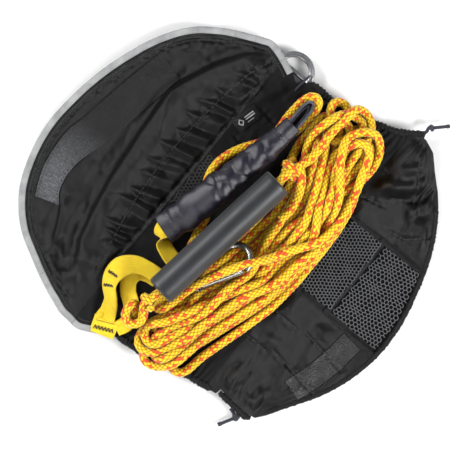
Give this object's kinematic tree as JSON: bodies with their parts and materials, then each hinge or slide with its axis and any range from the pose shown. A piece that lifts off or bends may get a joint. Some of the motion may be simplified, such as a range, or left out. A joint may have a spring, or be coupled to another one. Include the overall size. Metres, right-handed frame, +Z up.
{
  "type": "waist rope bag with tow line",
  "caption": "Waist rope bag lying open on its back, holding a floating tow line with a foam float, a sleeved shock absorber, a steel snap hook and a carabiner.",
  "frame": {"origin": "centre of the belt sleeve's underside, which the bag lies on", "axes": "+X along the lid's fold towards the carabiner, +Y from the front wall to the lid, +Z up out of the open bag"},
  "size_m": [0.3169, 0.3251, 0.0527],
  "materials": {
    "nylon": "coated nylon, faint sheen",
    "mesh": "open net",
    "binding": "reflective tape",
    "loop_pile": "brushed loop pile",
    "hook_pile": "hook pile",
    "elastic": "braided elastic",
    "webbing_yellow": "woven tape",
    "webbing_dark": "woven tape",
    "thread": "bar tack thread",
    "rope": "braided floating line with orange flecks",
    "sleeve": "crinkled coated nylon",
    "bungee": "sheathed elastic",
    "foam": "closed-cell foam",
    "steel": "polished",
    "alloy": "bright anodised",
    "label": "woven patch"
  },
  "bodies": {
    "bag": {"back_panel": "nylon", "back_mesh": "mesh", "inner_pocket": "nylon", "label_patch": "label", "belt_sleeve": "nylon", "binding_corner_left": "binding", "binding_corner_right": "binding", "side_hem_left": "nylon", "side_hem_right": "nylon", "elastic_left_rear": "elastic", "elastic_right": "elastic", "tether_webbing": "webbing_yellow", "tether_stitching": "thread", "snap_hook_body": "steel", "snap_hook_rivet": "steel", "rope_bundle": "rope", "rope_float_run": "rope", "rope_eye_run": "rope", "rope_arch_run": "rope", "shock_sleeve": "sleeve", "shock_bungee": "bungee", "shock_loop_webbing": "webbing_dark", "shock_tail_webbing": "webbing_yellow", "keeper_loop": "elastic", "carabiner_body": "alloy", "carabiner_pin": "steel"},
    "lid_rear": {"lid_gusset": "nylon", "gather_tape": "elastic", "binding_side_left": "binding", "binding_side_right": "binding"},
    "lid": {"lid_flap": "nylon", "lid_binding": "binding", "loop_tape": "loop_pile"},
    "front_rear": {"front_gusset": "nylon", "mesh_upper": "mesh", "front_hem_left": "nylon", "elastic_left_front": "elastic"},
    "front": {"front_flap": "nylon", "mesh_lower": "mesh", "front_edge_hem": "nylon", "hook_tape": "hook_pile"},
    "carabiner_gate": {"carabiner_gate": "alloy"},
    "snap_gate": {"snap_hook_gate": "steel"},
    "float": {"float_tube": "foam"}
  },
  "joints": [
    {"name": "lid_fold", "type": "hinge", "parent": "bag", "child": "lid_rear", "pos_m": [0, 0.062, 0.0123], "axis": [1, 0, 0], "range_deg": [0, 98]},
    {"name": "lid_flap_fold", "type": "hinge", "parent": "lid_rear", "child": "lid", "pos_m": [0, 0.112, 0.0045], "axis": [1, 0, 0], "range_deg": [0, 80]},
    {"name": "front_fold", "type": "hinge", "parent": "bag", "child": "front_rear", "pos_m": [0, -0.07, 0.0123], "axis": [-1, 0, 0], "range_deg": [0, 110]},
    {"name": "front_flap_fold", "type": "hinge", "parent": "front_rear", "child": "front", "pos_m": [0, -0.106, 0.0045], "axis": [-1, 0, 0], "range_deg": [0, 68]},
    {"name": "carabiner_gate_hinge", "type": "hinge", "parent": "bag", "child": "carabiner_gate", "pos_m": [0.1125, 0.0301, 0.0066], "axis": [0, 0, -1], "range_deg": [0, 24], "stiffness_Nm_per_rad": 0.15, "springref_deg": -28.65},
    {"name": "snap_gate_hinge", "type": "hinge", "parent": "bag", "child": "snap_gate", "pos_m": [-0.06139, -0.00481, 0.03016], "axis": [0, 0.5, 0.866], "range_deg": [0, 20], "stiffness_Nm_per_rad": 0.1, "springref_deg": -28.65},
    {"name": "float_slide", "type": "slide", "parent": "bag", "child": "float", "axis": [0.9895, -0.1444, 0], "range_m": [-0.003, 0.003]}
  ],
  "couplings": [
    {"joint": "lid_flap_fold", "follows": "lid_fold", "ratio": 0.816},
    {"joint": "front_flap_fold", "follows": "front_fold", "ratio": 0.618}
  ]
}
